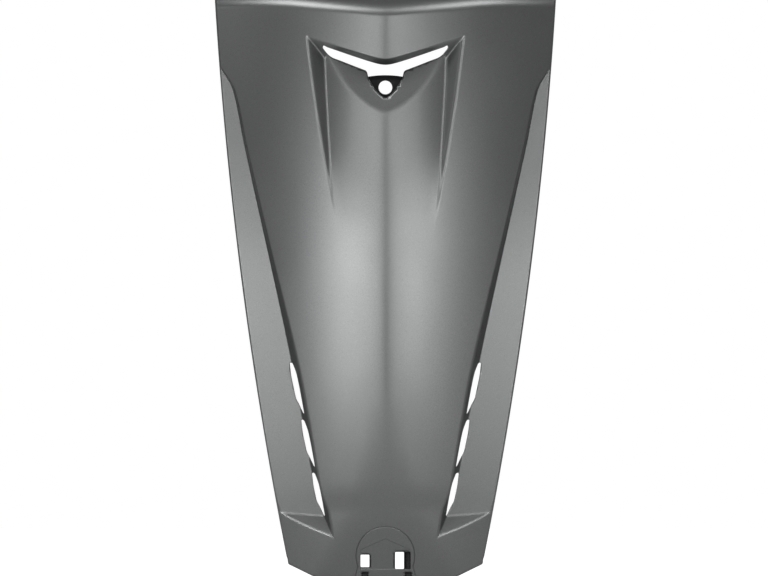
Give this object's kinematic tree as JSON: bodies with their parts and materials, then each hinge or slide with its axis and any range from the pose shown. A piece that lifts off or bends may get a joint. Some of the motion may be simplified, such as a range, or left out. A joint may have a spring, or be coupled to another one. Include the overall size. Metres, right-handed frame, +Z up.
{
  "type": "scooter front panel",
  "caption": "Tall tapering scooter front panel with a soft keel, recessed side wings, a scooped V opening over a screw tab and a clip seat at the foot.",
  "frame": {"origin": "centre of the screw hole, on the front face of its tab", "axes": "+Z up the panel, +Y back from the painted face, +X to the right as seen from the front"},
  "size_m": [0.326, 0.0922, 0.57],
  "materials": {
    "panel": "moulded plastic with matt titanium-grey metallic paint on the face, bare black behind"
  },
  "bodies": {
    "root": {"front_panel": "panel"}
  },
  "joints": []
}
